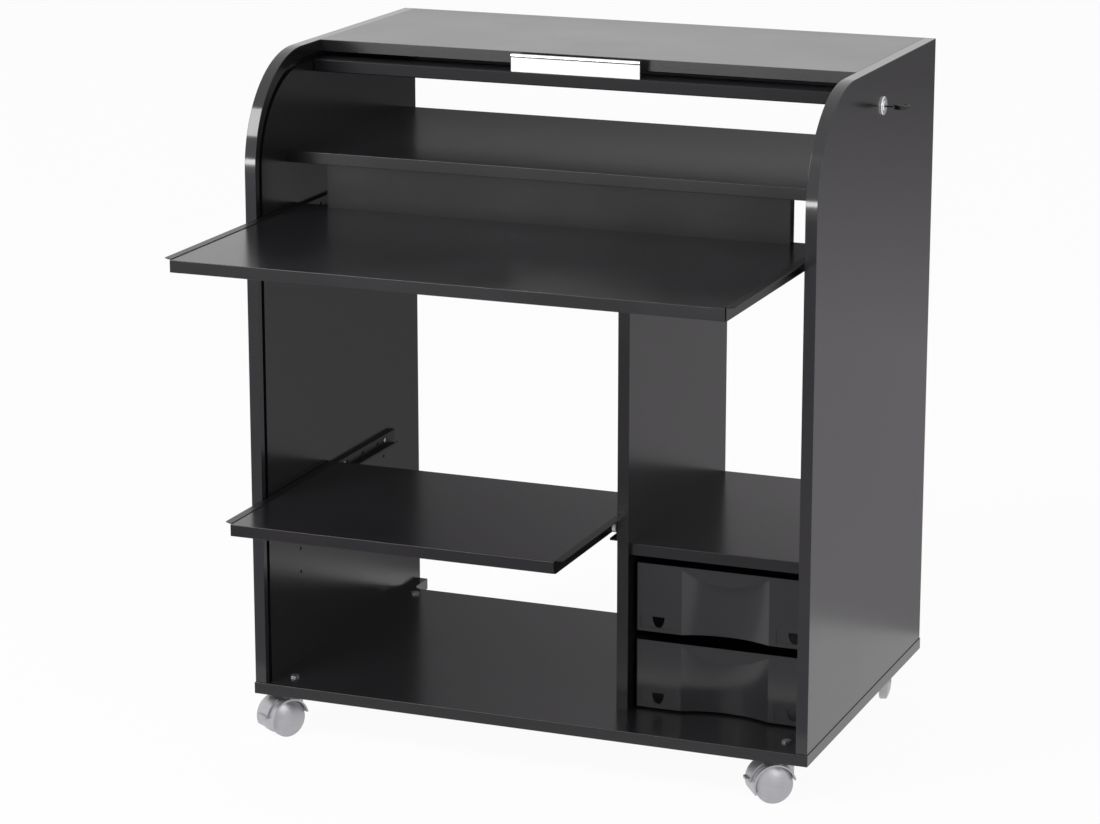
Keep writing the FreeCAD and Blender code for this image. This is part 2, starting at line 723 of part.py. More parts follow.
def slat(index):
    middle = slat_rest_y(index)
    half = SLAT_WIDTH / 2
    low = SLAT_Z - SLAT_THICK / 2
    points = [
        (middle - half + SLAT_BEVEL, low), (middle + half - SLAT_BEVEL, low),
        (middle + half, low + SLAT_THICK), (middle - half, low + SLAT_THICK),
    ]
    left = INNER_LEFT + SHUTTER_END_GAP
    right = INNER_RIGHT - SHUTTER_END_GAP
    return polygon_yz(points).extrude(V(right - left, 0, 0)).translated(V(left, 0, 0))


def slat_climb(index):
    closed_top = RAIL_CLOSED_BOTTOM + RAIL_BACK - RAIL_FRONT
    return closed_top + slat_rest_y(index) - RAIL_BACK - GROOVE_CENTRE_Z


def slat_turn(index):
    return math.pi / 2 - slat_climb(index) / SHUTTER_R


def turn_centre(start, end, angle):
    cos_a = math.cos(angle)
    sin_a = math.sin(angle)
    dy = end[0] - (start[0] * cos_a - start[1] * sin_a)
    dz = end[1] - (start[0] * sin_a + start[1] * cos_a)
    scale = 2 * (1 - cos_a)
    y = ((1 - cos_a) * dy - sin_a * dz) / scale
    z = (sin_a * dy + (1 - cos_a) * dz) / scale
    return y, z


def rail_pivot():
    half_depth = (RAIL_BACK - RAIL_FRONT) / 2
    half_thick = (RAIL_TOP - RAIL_BOTTOM) / 2
    start = (RAIL_FRONT + half_depth, RAIL_BOTTOM + half_thick)
    end = (ARC_R - SHUTTER_R - 1 + half_thick, RAIL_CLOSED_BOTTOM + half_depth)
    return turn_centre(start, end, math.pi / 2)


def slat_pivot(index):
    angle = slat_turn(index)
    end = (ARC_R - SHUTTER_R * math.sin(angle), GROOVE_CENTRE_Z + SHUTTER_R * math.cos(angle))
    return turn_centre((slat_rest_y(index), SLAT_Z), end, angle)


def tail_move():
    behind = slat_climb(SLAT_COUNT) - SHUTTER_R * math.pi / 2
    return ARC_R + behind - slat_rest_y(SLAT_COUNT), GROOVE_CENTRE_Z + SHUTTER_R - SLAT_Z


def shutter_tail():
    return group([slat(SLAT_COUNT + n) for n in range(TAIL_COUNT)])


# Lock
def lock_bar(radius, x0, x1):
    return cross_bar(radius, x0, x1, LOCK_Y, LOCK_Z)


def lock_body():
    barrel = lock_bar(LOCK_BARREL_R, INNER_RIGHT - LOCK_REACH_IN, WIDTH + LOCK_ROSE / 2)
    rose = lock_bar(LOCK_ROSE_R, WIDTH, WIDTH + LOCK_ROSE)
    rim = [edge for edge in rose.Edges if edge.BoundBox.XMin > WIDTH + PAST and len(edge.Vertexes) == 1]
    body = barrel.fuse(soften(rose, rim, LOCK_ROSE_ROUND))
    bore = lock_bar(LOCK_PLUG_R + RUN_GAP, INNER_RIGHT - LOCK_REACH_IN - PAST, WIDTH + KEY_TIP)
    return body.cut(bore).removeSplitter()


def cam_plate_face():
    return INNER_RIGHT - LOCK_REACH_IN - PAST / 2


def lock_plug():
    plug = lock_bar(LOCK_PLUG_R, cam_plate_face() - CAM_PLATE, WIDTH + LOCK_ROSE + PLUG_PROUD)
    half = KEY_BLADE_HALF + KEYWAY_GAP
    rise = KEY_BLADE_THICK / 2 + KEYWAY_GAP
    keyway = box(INNER_RIGHT - PAST, WIDTH + KEY_TIP, LOCK_Y - half, LOCK_Y + half,
                 LOCK_Z - rise, LOCK_Z + rise)
    return plug.cut(keyway)


def lock_cam():
    x1 = cam_plate_face()
    plate = box(x1 - CAM_PLATE, x1, LOCK_Y - CAM_PLATE_HALF, LOCK_Y + CAM_PLATE_HALF,
                LOCK_Z - CAM_PLATE_DOWN, LOCK_Z + CAM_PLATE_UP)
    plate = soften(plate, edges_along(plate, V(1, 0, 0), lambda p: True), CAM_PLATE_CORNER)
    return plate.cut(lock_bar(LOCK_PLUG_R + RUN_GAP, x1 - CAM_PLATE - PAST, x1 + PAST))


def key():
    tip = WIDTH + KEY_TIP
    half = KEY_HEAD / 2
    rise = KEY_BLADE_THICK / 2
    blade = box(INNER_RIGHT, tip - KEY_HEAD + KEY_BLADE_HALF,
                LOCK_Y - KEY_BLADE_HALF, LOCK_Y + KEY_BLADE_HALF, LOCK_Z - rise, LOCK_Z + rise)
    low = LOCK_Z - KEY_HEAD_THICK / 2
    ring = Part.Ellipse(V(tip - half, LOCK_Y, low), half, KEY_HEAD_HALF).toShape()
    head = Part.Face(Part.Wire([ring])).extrude(V(0, 0, KEY_HEAD_THICK))
    head = soften(head, [edge for edge in head.Edges if len(edge.Vertexes) == 1], KEY_HEAD_ROUND)
    eye = upright_bar(KEY_EYE_R, tip - KEY_EYE_FROM_TIP, LOCK_Y, low - PAST, low + KEY_HEAD_THICK + PAST)
    return blade.fuse(head).cut(eye).removeSplitter()


# Casters, drawn with the stem at the origin and the wheels trailing along +x
def lying(radius, y0, y1):
    return Part.makeCylinder(radius, y1 - y0, V(CASTER_TRAIL, y0, AXLE_Z), V(0, 1, 0))


def xz_prism(points, y0, y1):
    corners = [V(x, y0, z) for x, z in points]
    return Part.Face(Part.makePolygon(corners + corners[:1])).extrude(V(0, y1 - y0, 0))


def caster_hood():
    shell = lying(HOOD_R, -HOOD_HALF, HOOD_HALF)
    front = CASTER_TRAIL - HOOD_R - PAST
    rear = CASTER_TRAIL + HOOD_R + PAST
    floor = AXLE_Z - HOOD_R - PAST
    rear_lip = AXLE_Z - 2 * HOOD_R / 5
    front_lip = AXLE_Z + HOOD_R / 4
    under_axle = (CASTER_TRAIL, AXLE_Z - AXLE_R - PAST)
    skirt = [(front, floor), (rear, floor), (rear, rear_lip), under_axle, (front, front_lip)]
    below = xz_prism(skirt, -HOOD_HALF - PAST, HOOD_HALF + PAST)
    boss = upright_bar(BOSS_R, 0, 0, AXLE_Z + BOSS_FOOT, COLLAR_TOP - PAST)
    collar = upright_bar(COLLAR_R, 0, 0, COLLAR_TOP - COLLAR_HEIGHT, COLLAR_TOP)
    hub = lying(HOOD_HUB_R, -HOOD_WEB, HOOD_WEB)
    hood = shell.cut(below).fuse([boss, collar, hub])
    side = HOOD_HALF + PAST
    wells = [lying(HOOD_WELL_R, HOOD_WEB, side), lying(HOOD_WELL_R, -side, -HOOD_WEB)]
    socket = upright_bar(STEM_R + RUN_GAP, 0, 0, -STEM_DROP - PAST, 0)
    bore = lying(AXLE_R + RUN_GAP, -side, side)
    return hood.cut(group(wells)).cut(socket).cut(bore).removeSplitter()


def caster_wheel(side):
    bore = AXLE_R + RUN_GAP
    points = [
        (bore, WHEEL_INNER), (WHEEL_R - 1.5, WHEEL_INNER), (WHEEL_R, WHEEL_INNER + 1.5),
        (WHEEL_R, WHEEL_OUTER - 4), (WHEEL_R - 2.5, WHEEL_OUTER - 1.2), (WHEEL_R - 8, WHEEL_OUTER),
        (WHEEL_R - 9, WHEEL_OUTER - 0.8), (WHEEL_R - 10, WHEEL_OUTER), (bore, WHEEL_OUTER - 0.5),
    ]
    corners = [V(CASTER_TRAIL + r, side * y, AXLE_Z) for r, y in points]
    face = Part.Face(Part.makePolygon(corners + corners[:1]))
    return face.revolve(V(CASTER_TRAIL, 0, AXLE_Z), V(0, 1, 0), 360)


def caster_wheels():
    return group([caster_wheel(1), caster_wheel(-1)])


def caster_axle():
    half = WHEEL_OUTER - AXLE_SHORT
    return lying(AXLE_R, -half, half)


def caster_brake():
    inner = HOOD_R + BRAKE_GAP
    outer = inner + BRAKE_THICK
    wide = BRAKE_HALF + PAST
    ring = lying(outer, -BRAKE_HALF, BRAKE_HALF).cut(lying(inner, -wide, wide))
    far = 2 * outer
    angles = [math.radians(a) for a in (BRAKE_FROM, (BRAKE_FROM + BRAKE_TO) / 2, BRAKE_TO)]
    rays = [(CASTER_TRAIL + far * math.cos(a), AXLE_Z + far * math.sin(a)) for a in angles]
    pedal = ring.common(xz_prism([(CASTER_TRAIL, AXLE_Z)] + rays, -wide, wide))
    root = CASTER_TRAIL + inner - BRAKE_GAP
    tip_z = AXLE_Z + inner * math.sin(angles[0]) + BRAKE_TIP_LIFT
    tip = box(root, root + BRAKE_TIP + BRAKE_GAP, -BRAKE_HALF, BRAKE_HALF,
              tip_z - BRAKE_TIP_HALF, tip_z + BRAKE_TIP_HALF)
    tip = soften(tip, edges_along(tip, V(0, 0, 1), lambda p: p.x > root + PAST), BRAKE_TIP_CORNER)
    return pedal.fuse(tip).cut(lying(inner, -wide, wide)).removeSplitter()


def caster_stem():
    flange = upright_bar(FLANGE_R, 0, 0, -FLANGE_THICK, 0)
    return flange.fuse(upright_bar(STEM_R, 0, 0, -STEM_DROP, BOARD + NUT_HEIGHT)).removeSplitter()


def caster_nut():
    angles = [math.radians(60 * n) for n in range(6)]
    corners = [V(NUT_CORNER_R * math.cos(a), NUT_CORNER_R * math.sin(a), BOARD) for a in angles]
    nut = Part.Face(Part.makePolygon(corners + corners[:1])).extrude(V(0, 0, NUT_HEIGHT))
    return nut.cut(upright_bar(STEM_R + RUN_GAP, 0, 0, BOARD - PAST, BOARD + NUT_HEIGHT + PAST))


def at_caster(shape, name):
    moved = shape.copy()
    moved.rotate(V(0, 0, 0), V(0, 0, 1), CASTER_TURN[name])
    x, y = CASTER_PLACES[name]
    return moved.translated(V(x, y, 0))


def make_nodes():
    nodes = {
        "left_side_panel": side_panel(True),
        "right_side_panel": side_panel(False),
        "left_edge_band": edge_band(True),
        "right_edge_band": edge_band(False),
        "base_panel": base_panel(),
        "top_panel": top_panel(),
        "upper_shelf": upper_shelf(),
        "centre_divider": centre_divider(),
        "drawer_bay_shelf": drawer_bay_shelf(),
        "base_screws": base_screws(),
        "cam_fittings": cams(),
        "worktop_channel_left": channel(INNER_LEFT, 1, WORKTOP_SLIDE, WORKTOP_TOP),
        "worktop_channel_right": channel(INNER_RIGHT, -1, WORKTOP_SLIDE, WORKTOP_TOP),
        "printer_channel_left": channel(INNER_LEFT, 1, PRINTER_SLIDE, PRINTER_TOP),
        "printer_channel_right": channel(DIVIDER_X, -1, PRINTER_SLIDE, PRINTER_TOP),
        "slide_screws": slide_screws(),
        "worktop": worktop(),
        "worktop_upstand": worktop_upstand(),
        "worktop_member_left": member(WORKTOP_LEFT, -1, WORKTOP_FRONT, WORKTOP_BACK, WORKTOP_TOP),
        "worktop_member_right": member(WORKTOP_RIGHT, 1, WORKTOP_FRONT, WORKTOP_BACK, WORKTOP_TOP),
        "printer_shelf": printer_shelf(),
        "printer_member_left": member(PRINTER_LEFT, -1, PRINTER_FRONT, PRINTER_BACK, PRINTER_TOP),
        "printer_member_right": member(PRINTER_RIGHT, 1, PRINTER_FRONT, PRINTER_BACK, PRINTER_TOP),
        "drawer_upper": drawer(UPPER_DRAWER_Z),
        "drawer_lower": drawer(LOWER_DRAWER_Z),
        "drawer_runners": drawer_runners(),
        "shutter_rail": shutter_rail(),
        "shutter_handle": shutter_handle(),
        "shutter_tail": shutter_tail(),
        "lock_body": lock_body(),
        "lock_plug": lock_plug(),
        "lock_cam": lock_cam(),
        "key": key(),
    }
    boards = {
        "worktop": (INNER_RIGHT, WORKTOP_SLIDE, WORKTOP_BACK, WORKTOP_TOP),
        "printer": (DIVIDER_X, PRINTER_SLIDE, PRINTER_BACK, PRINTER_TOP),
    }
    for name, (right_face, span, back, top) in boards.items():
        front_y = span[0] + ROLLER_FROM_END
        rear_y = back - ROLLER_FROM_END
        nodes[name + "_front_rollers"] = roller_pair(
            FRONT_ROLLER_R, INNER_LEFT, right_face, front_y, front_roller_z(top))
        nodes[name + "_rear_rollers"] = roller_pair(
            REAR_ROLLER_R, INNER_LEFT, right_face, rear_y, rear_roller_z(top))
    for index in range(SLAT_COUNT):
        nodes["shutter_slat_%d" % (index + 1)] = slat(index)
    for name in CASTER_PLACES:
        nodes["caster_hood_" + name] = at_caster(caster_hood(), name)
        nodes["caster_wheels_" + name] = at_caster(caster_wheels(), name)
        nodes["caster_axle_" + name] = at_caster(caster_axle(), name)
        if name.startswith("front"):
            nodes["caster_brake_" + name] = at_caster(caster_brake(), name)
    nodes["caster_stems"] = group([at_caster(caster_stem(), name) for name in CASTER_PLACES])
    nodes["caster_nuts"] = group([at_caster(caster_nut(), name) for name in CASTER_PLACES])
    return nodes


def main():
    os.makedirs("parts", exist_ok=True)
    for name, shape in make_nodes().items():
        shape.translated(SHIFT).exportStep("parts/%s.step" % name)


if __name__ == "__main__":
    main()
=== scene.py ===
import json
import math

import bmesh
import bpy
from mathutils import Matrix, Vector


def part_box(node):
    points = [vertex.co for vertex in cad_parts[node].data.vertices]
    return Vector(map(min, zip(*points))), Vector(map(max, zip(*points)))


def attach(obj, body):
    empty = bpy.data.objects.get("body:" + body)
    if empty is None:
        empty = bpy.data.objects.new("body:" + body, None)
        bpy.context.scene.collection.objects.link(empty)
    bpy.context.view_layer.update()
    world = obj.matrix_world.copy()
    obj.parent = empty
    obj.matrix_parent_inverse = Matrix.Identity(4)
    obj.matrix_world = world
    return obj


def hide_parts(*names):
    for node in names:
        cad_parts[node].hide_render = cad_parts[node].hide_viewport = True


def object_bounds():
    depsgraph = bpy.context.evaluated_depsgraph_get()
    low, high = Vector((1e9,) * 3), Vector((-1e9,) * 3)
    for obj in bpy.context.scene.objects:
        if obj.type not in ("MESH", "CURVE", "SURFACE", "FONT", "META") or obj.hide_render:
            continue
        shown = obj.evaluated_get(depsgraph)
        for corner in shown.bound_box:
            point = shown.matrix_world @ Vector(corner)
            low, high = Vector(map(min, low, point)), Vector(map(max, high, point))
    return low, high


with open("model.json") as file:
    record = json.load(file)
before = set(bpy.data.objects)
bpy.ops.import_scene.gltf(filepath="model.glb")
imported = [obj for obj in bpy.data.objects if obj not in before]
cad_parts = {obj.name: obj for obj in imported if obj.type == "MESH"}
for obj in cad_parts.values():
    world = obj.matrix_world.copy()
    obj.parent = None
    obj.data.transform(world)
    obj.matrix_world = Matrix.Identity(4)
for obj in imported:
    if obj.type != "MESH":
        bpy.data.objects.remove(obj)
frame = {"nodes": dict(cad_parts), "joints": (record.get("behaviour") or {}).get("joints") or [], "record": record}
cad_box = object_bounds()

MM = 0.001

# The desk's own corner: outer face of the left side, front edge of the sides, underside of the base
CORNER = Vector((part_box("left_side_panel")[0].x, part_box("left_edge_band")[0].y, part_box("base_panel")[0].z))

# Camera, placed from the desk's corner, with its focal length in pixels of the photo's width
PHOTO_WIDTH = 1100
CAMERA_FROM_CORNER = Vector((2.1167, -4.2100, 1.6250))
CAMERA_TURN = math.radians(21.73)
CAMERA_DIP = math.radians(14.60)
FOCAL_PX = 3572.2
SENSOR_MM = 36.0
CAMERA_FAR = 60.0

# Caster wheels: tread radius, inner and outer face from the caster's middle, dome's rise, eased edge
WHEEL_R = 25.95 * MM
WHEEL_INNER = 6 * MM
WHEEL_OUTER = 23 * MM
WHEEL_DOME = 7 * MM
WHEEL_EASE = 1.5 * MM

# Mesh of the wheels: steps, distance of points to merge, angle past which an edge is sharp
DOME_STEPS = 10
WHEEL_STEPS = 64
MERGE = 0.01 * MM
SHARP = math.radians(35)

# How far the upstand's top stands above its solid, and the rounding of its edges
UPSTAND_RISE = 4.5 * MM
UPSTAND_EDGE = 0.6 * MM

# Studio floor: its reach and how white it reads
FLOOR_REACH = 12.0
FLOOR_WHITE = 0.95

# Glowing sheet behind the desk that paints shade into its reflections: gap behind the desk, reach past its sides,
# rise above its top
WALL_GAP = 0.25
WALL_PAST_LEFT = 0.2
WALL_PAST_RIGHT = 0.6
WALL_RISE = 0.02

# Painted shade: glow of the sheet at its left and right end, and its share high up, with the heights where it
# falls off
PAINTED_WALL_GLOW_LEFT = 0.22
PAINTED_WALL_GLOW_RIGHT = 0.68
PAINTED_WALL_GLOW_HIGH = 0.45
WALL_FALL_FROM = 0.45
WALL_FALL_TO = 0.85

# Glowing sheet on the floor before the desk, a painted darker reflection: tone, reach to the left and to the
# front, height over the floor
PAINTED_FRONT_GLOW = 0.50
FRONT_LEFT = 2.0
FRONT_REACH = 3.4
FRONT_LIFT = 2 * MM

# Light that the white room adds to what is neither seen directly nor mirrored
ROOM_FILL = 0.45

# Softboxes, all aimed at the middle of the desk: place, width and height, power in watts
LAMP_AIM = Vector((0.0, 0.0, 0.5))
LAMPS = {
    "key_softbox": (Vector((-1.8, -2.6, 2.9)), (1.6, 1.6), 90),
    "edge_softbox": (Vector((-1.65, -4.4, 0.75)), (2.0, 0.4), 42),
    "fill_softbox": (Vector((3.0, -1.6, 1.8)), (1.8, 1.8), 25),
}


def linear(colour):
    """An sRGB hex colour as linear red, green, blue and alpha."""
    values = []
    for start in (1, 3, 5):
        part = int(colour[start:start + 2], 16) / 255
        values.append(part / 12.92 if part <= 0.04045 else ((part + 0.055) / 1.055) ** 2.4)
    return (*values, 1.0)


def per_metre(size_mm):
    """Texture scale at which one feature is that many millimetres wide."""
    return 1 / (size_mm * MM)


def add(tree, kind, inputs=None, **settings):
    """Adds a shader node; inputs maps a socket to a value or to another node's output."""
    made = tree.nodes.new(kind)
    for name, value in settings.items():
        setattr(made, name, value)
    for key, value in (inputs or {}).items():
        if isinstance(value, bpy.types.NodeSocket):
            tree.links.new(value, made.inputs[key])
        else:
            made.inputs[key].default_value = value
    return made


def new_material(name, **sockets):
    """A material with one principled shader; returns it, its tree, the shader and object coordinates."""
    material = bpy.data.materials.new(name)
    material.use_nodes = True
    tree = material.node_tree
    tree.nodes.clear()
    values = {name.replace("_", " "): value for name, value in sockets.items()}
    shader = add(tree, "ShaderNodeBsdfPrincipled", values)
    add(tree, "ShaderNodeOutputMaterial", {"Surface": shader.outputs["BSDF"]})
    place = add(tree, "ShaderNodeTexCoord").outputs["Object"]
    return material, tree, shader, place


# Finishes
def black_melamine_board():
    """Melamine-faced chipboard pressed on a satin plate: near black, soft sheen, faint pearl texture."""
    material, tree, shader, place = new_material("black_melamine_board", IOR=1.5, Specular_IOR_Level=0.4)
    clouds = add(tree, "ShaderNodeTexNoise", {"Vector": place, "Scale": per_metre(160), "Detail": 3.0})
    colour = add(tree, "ShaderNodeValToRGB", {"Fac": clouds.outputs["Fac"]})
    colour.color_ramp.elements[0].position = 0.3
    colour.color_ramp.elements[0].color = linear("#171618")
    colour.color_ramp.elements[1].position = 0.7
    colour.color_ramp.elements[1].color = linear("#1d1b1e")
    tree.links.new(colour.outputs["Color"], shader.inputs["Base Color"])
    sheen = add(tree, "ShaderNodeMapRange", {"Value": clouds.outputs["Fac"], "To Min": 0.18, "To Max": 0.26})
    tree.links.new(sheen.outputs["Result"], shader.inputs["Roughness"])
    pearl = add(tree, "ShaderNodeTexNoise", {"Vector": place, "Scale": per_metre(1.6), "Detail": 2.0})
    bump = add(tree, "ShaderNodeBump", {"Height": pearl.outputs["Fac"], "Strength": 0.12,
                                        "Distance": 0.02 * MM})
    tree.links.new(bump.outputs["Normal"], shader.inputs["Normal"])
    return material


def black_edge_band():
    """Moulded ABS edge band, buffed after trimming: a little glossier than the board."""
    material, tree, shader, place = new_material("black_edge_band", IOR=1.5, Base_Color=linear("#252427"))
    rub = add(tree, "ShaderNodeTexNoise", {"Vector": place, "Scale": per_metre(25), "Detail": 4.0})
    sheen = add(tree, "ShaderNodeMapRange", {"Value": rub.outputs["Fac"], "To Min": 0.07, "To Max": 0.12})
    tree.links.new(sheen.outputs["Result"], shader.inputs["Roughness"])
    return material


def epoxy_coated_steel():
    """Folded sheet steel under black epoxy powder: satin, with the powder's fine orange peel."""
    material, tree, shader, place = new_material("epoxy_coated_steel", IOR=1.5, Specular_IOR_Level=0.3,
                                                 Base_Color=linear("#0c0c0d"))
    peel = add(tree, "ShaderNodeTexNoise", {"Vector": place, "Scale": per_metre(1.2), "Detail": 1.0})
    sheen = add(tree, "ShaderNodeMapRange", {"Value": peel.outputs["Fac"], "To Min": 0.26, "To Max": 0.40})
    tree.links.new(sheen.outputs["Result"], shader.inputs["Roughness"])
    bump = add(tree, "ShaderNodeBump", {"Height": peel.outputs["Fac"], "Strength": 0.2,
                                        "Distance": 0.03 * MM})
    tree.links.new(bump.outputs["Normal"], shader.inputs["Normal"])
    return material


def white_nylon():
    """Moulded nylon rollers: white, waxy, faintly mottled."""
    material, tree, shader, place = new_material("white_nylon", IOR=1.53)
    mottle = add(tree, "ShaderNodeTexNoise", {"Vector": place, "Scale": per_metre(3), "Detail": 2.0})
    colour = add(tree, "ShaderNodeValToRGB", {"Fac": mottle.outputs["Fac"]})
    colour.color_ramp.elements[0].color = linear("#d8d8d4")
    colour.color_ramp.elements[1].color = linear("#ecece8")
    tree.links.new(colour.outputs["Color"], shader.inputs["Base Color"])
    shader.inputs["Roughness"].default_value = 0.4
    return material


def black_polystyrene():
    """Injection-moulded polystyrene drawers: satin black with a fine spark-eroded grain."""
    material, tree, shader, place = new_material("black_polystyrene", IOR=1.55, Base_Color=linear("#222124"))
    grain = add(tree, "ShaderNodeTexNoise", {"Vector": place, "Scale": per_metre(1.4), "Detail": 2.0})
    sheen = add(tree, "ShaderNodeMapRange", {"Value": grain.outputs["Fac"], "To Min": 0.12, "To Max": 0.20})
    tree.links.new(sheen.outputs["Result"], shader.inputs["Roughness"])
    bump = add(tree, "ShaderNodeBump", {"Height": grain.outputs["Fac"], "Strength": 0.15,
                                        "Distance": 0.02 * MM})
    tree.links.new(bump.outputs["Normal"], shader.inputs["Normal"])
    return material


def silver_lacquer():
    """Silver lacquer on moulded nylon casters: a satin metal sheen with faint flow marks."""
    material, tree, shader, place = new_material("silver_lacquered_nylon", Metallic=0.75)
    flow = add(tree, "ShaderNodeTexNoise", {"Vector": place, "Scale": per_metre(12), "Detail": 3.0})
    colour = add(tree, "ShaderNodeValToRGB", {"Fac": flow.outputs["Fac"]})
    colour.color_ramp.elements[0].color = linear("#a6a6aa")
    colour.color_ramp.elements[1].color = linear("#b6b6ba")
    tree.links.new(colour.outputs["Color"], shader.inputs["Base Color"])
    shader.inputs["Roughness"].default_value = 0.36
    return material


def zinc_plated_steel():
    """Bright zinc on turned and pressed steel: a grey, slightly cloudy metal."""
    material, tree, shader, place = new_material("zinc_plated_steel", Metallic=1.0,
                                                 Base_Color=linear("#dcdde0"))
    bloom = add(tree, "ShaderNodeTexNoise", {"Vector": place, "Scale": per_metre(2), "Detail": 3.0})
    sheen = add(tree, "ShaderNodeMapRange", {"Value": bloom.outputs["Fac"], "To Min": 0.18, "To Max": 0.36})
    tree.links.new(sheen.outputs["Result"], shader.inputs["Roughness"])
    return material


def polished_chrome():
    """Chrome plate on a drawn handle and a lock: bright, with faint polishing lines along the length."""
    material, tree, shader, place = new_material("polished_chrome", Metallic=1.0,
                                                 Base_Color=linear("#f4f5f6"))
    stretch = add(tree, "ShaderNodeMapping", {"Vector": place, "Scale": (0.02, 1.0, 1.0)})
    lines = add(tree, "ShaderNodeTexNoise", {"Vector": stretch.outputs["Vector"],
                                             "Scale": per_metre(0.8), "Detail": 2.0})
    sheen = add(tree, "ShaderNodeMapRange", {"Value": lines.outputs["Fac"], "To Min": 0.06, "To Max": 0.16})
    tree.links.new(sheen.outputs["Result"], shader.inputs["Roughness"])
    return material


def foil_wrapped_slat():
    """Shutter slats and rail wrapped in black foil: satin with a slight lengthwise draw."""
    material, tree, shader, place = new_material("foil_wrapped_slat", IOR=1.5, Specular_IOR_Level=0.12,
                                                 Base_Color=linear("#1d1c1f"))
    stretch = add(tree, "ShaderNodeMapping", {"Vector": place, "Scale": (0.05, 1.0, 1.0)})
    draw = add(tree, "ShaderNodeTexNoise", {"Vector": stretch.outputs["Vector"],
                                            "Scale": per_metre(4), "Detail": 3.0})
    sheen = add(tree, "ShaderNodeMapRange", {"Value": draw.outputs["Fac"], "To Min": 0.28, "To Max": 0.40})
    tree.links.new(sheen.outputs["Result"], shader.inputs["Roughness"])
    return material


def black_key_plastic():
    """Moulded ABS key head: glossy black with soft finger marks."""
    material, tree, shader, place = new_material("black_key_plastic", IOR=1.5, Base_Color=linear("#0f0f10"))
    marks = add(tree, "ShaderNodeTexNoise", {"Vector": place, "Scale": per_metre(5), "Detail": 2.0})
    sheen = add(tree, "ShaderNodeMapRange", {"Value": marks.outputs["Fac"], "To Min": 0.12, "To Max": 0.28})
    tree.links.new(sheen.outputs["Result"], shader.inputs["Roughness"])
    return material


# Finish of each material slot in the record
FINISHES = {
    "melamine_board": black_melamine_board(),
    "edge_band": black_edge_band(),
    "slide_steel": epoxy_coated_steel(),
    "roller_nylon": white_nylon(),
    "drawer_plastic": black_polystyrene(),
    "caster_plastic": silver_lacquer(),
    "zinc_steel": zinc_plated_steel(),
    "chrome": polished_chrome(),
    "shutter_board": foil_wrapped_slat(),
    "key_plastic": black_key_plastic(),
}


def dress_cad_nodes():
    """Gives every CAD node the finish of its slot."""
    slots = {row["node"]: row["material_slot"] for row in frame["record"]["subparts"]}
    for name, node in frame["nodes"].items():
        node.data.materials.clear()
        node.data.materials.append(FINISHES[slots[name]])


# Pieces of the scene
def place_piece(name, shape, body, nodes, slot):
    """Gives a finished bmesh an object that rides a body, stands for CAD nodes and wears their finish."""
    mesh = bpy.data.meshes.new(name)
    shape.to_mesh(mesh)
    shape.free()
    mesh.materials.append(FINISHES[slot])
    piece = bpy.data.objects.new(name, mesh)
    bpy.context.scene.collection.objects.link(piece)
    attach(piece, body)
    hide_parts(*nodes)
    return piece


def wheel_profile():
    """Half section of one wheel, as radius and distance from the caster's middle: tread and domed cap."""
    dome_r = (WHEEL_R ** 2 + WHEEL_DOME ** 2) / (2 * WHEEL_DOME)
    profile = [(0, WHEEL_INNER), (WHEEL_R - WHEEL_EASE, WHEEL_INNER), (WHEEL_R, WHEEL_INNER + WHEEL_EASE)]
    for step in range(DOME_STEPS + 1):
        r = WHEEL_R * (1 - step / DOME_STEPS)
        sag = dome_r - math.sqrt(dome_r ** 2 - r ** 2)
        profile.append((r, WHEEL_OUTER - sag))
    return profile


def domed_wheels():
    """The photo's caster wheels are closed outside by smooth domes, which hide the axle's ends."""
    for joint in frame["joints"]:
        if not joint["name"].startswith("roll_"):
            continue
        axis = Vector(joint["axis"])
        middle = Vector(joint["pos_m"])
        shape = bmesh.new()
        for side in (axis, -axis):
            corners = [shape.verts.new(middle + Vector((0, 0, r)) + side * y) for r, y in wheel_profile()]
            edges = [shape.edges.new(pair) for pair in zip(corners, corners[1:])]
            bmesh.ops.spin(shape, geom=corners + edges, cent=middle, axis=axis, angle=math.tau,
                           steps=WHEEL_STEPS, use_merge=True)
        bmesh.ops.remove_doubles(shape, verts=shape.verts, dist=MERGE)
        bmesh.ops.recalc_face_normals(shape, faces=shape.faces)
        for face in shape.faces:
            face.smooth = True
        corner = joint["child"].removeprefix("wheels_")
        wheels = place_piece("domed_wheels_" + corner, shape, joint["child"], ["caster_wheels_" + corner],
                             "caster_plastic")
        wheels.data.set_sharp_from_angle(angle=SHARP)


def full_height_upstand():
    """The upstand at its full height: its top edge hides behind the front edge of the upper shelf."""
    low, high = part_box("worktop_upstand")
    rise = Vector((0, 0, UPSTAND_RISE))
    shape = bmesh.new()
    bmesh.ops.create_cube(shape, size=1.0)
    bmesh.ops.scale(shape, vec=high - low + rise, verts=shape.verts)
    bmesh.ops.translate(shape, vec=(low + high + rise) / 2, verts=shape.verts)
    bmesh.ops.bevel(shape, geom=shape.edges, offset=UPSTAND_EDGE, segments=2, affect="EDGES")
    place_piece("full_height_upstand", shape, "worktop", ["worktop_upstand"], "melamine_board")


# Studio
def stage_sheet(name, corners, material):
    """A flat four-cornered sheet of the studio, no part of the desk."""
    mesh = bpy.data.meshes.new(name)
    mesh.from_pydata(corners, [], [(0, 1, 2, 3)])
    mesh.materials.append(material)
    sheet = bpy.data.objects.new(name, mesh)
    bpy.context.scene.collection.objects.link(sheet)
    return sheet


def bare_material(name):
    """A material with an empty tree."""
    material = bpy.data.materials.new(name)
    material.use_nodes = True
    material.node_tree.nodes.clear()
    return material


